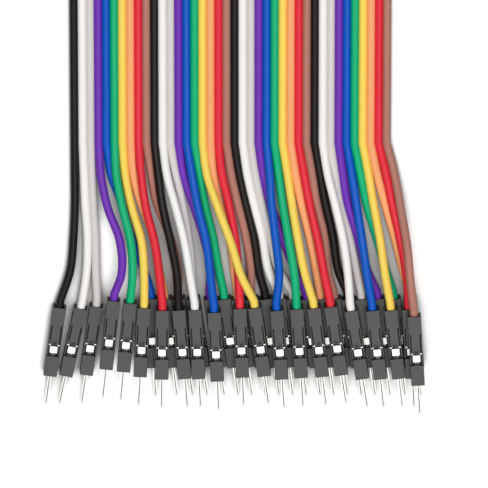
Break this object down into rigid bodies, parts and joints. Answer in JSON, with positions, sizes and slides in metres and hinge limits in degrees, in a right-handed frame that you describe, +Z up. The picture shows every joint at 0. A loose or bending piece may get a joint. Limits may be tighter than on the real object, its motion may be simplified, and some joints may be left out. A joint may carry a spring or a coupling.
{
  "type": "breadboard jumper wire ribbon",
  "caption": "Rainbow ribbon of bonded jumper wires, each ending in a single black 2.54 mm housing with a square male pin, fanned out loosely at one end and grouped at the other.",
  "frame": {"origin": "on the plane the part lies on, under the middle of the box around all the connectors", "axes": "+Y along the ribbon from the fanned near end to the grouped far end, +X across the wires towards the brown edge wire, +Z up from the table"},
  "size_m": [0.072, 0.1632, 0.0082],
  "materials": {
    "housing": "matte black moulded nylon",
    "contact": "tin-plated stamped contact",
    "wire_black": "soft vinyl insulation, satin",
    "wire_white": "soft vinyl insulation, satin",
    "wire_grey": "soft vinyl insulation, satin",
    "wire_violet": "soft vinyl insulation, satin",
    "wire_blue": "soft vinyl insulation, satin",
    "wire_green": "soft vinyl insulation, satin",
    "wire_yellow": "soft vinyl insulation, satin",
    "wire_orange": "soft vinyl insulation, satin",
    "wire_red": "soft vinyl insulation, satin",
    "wire_brown": "soft vinyl insulation, satin"
  },
  "bodies": {
    "root": {"ribbon": "wire_grey", "connector_01": "housing", "connector_02": "housing", "connector_03": "housing", "connector_04": "housing", "connector_05": "housing", "connector_06": "housing", "connector_07": "housing", "connector_08": "housing", "connector_09": "housing", "connector_10": "housing", "connector_11": "housing", "connector_12": "housing", "connector_13": "housing", "connector_14": "housing", "connector_15": "housing", "connector_16": "housing", "connector_17": "housing", "connector_18": "housing", "connector_19": "housing", "connector_20": "housing", "connector_21": "housing", "connector_22": "housing", "connector_23": "housing", "connector_24": "housing", "connector_25": "housing", "connector_26": "housing", "connector_27": "housing", "connector_28": "housing", "connector_29": "housing", "connector_30": "housing", "connector_31": "housing", "connector_32": "housing", "connector_33": "housing", "connector_34": "housing", "connector_35": "housing", "connector_36": "housing", "connector_37": "housing", "connector_38": "housing", "connector_39": "housing", "connector_40": "housing", "far_connectors_upper_1": "housing", "far_connectors_upper_2": "housing", "far_connectors_upper_3": "housing", "far_connectors_upper_4": "housing", "far_connectors_lower_1": "housing", "far_connectors_lower_2": "housing", "far_connectors_lower_3": "housing", "far_connectors_lower_4": "housing"}
  },
  "joints": []
}
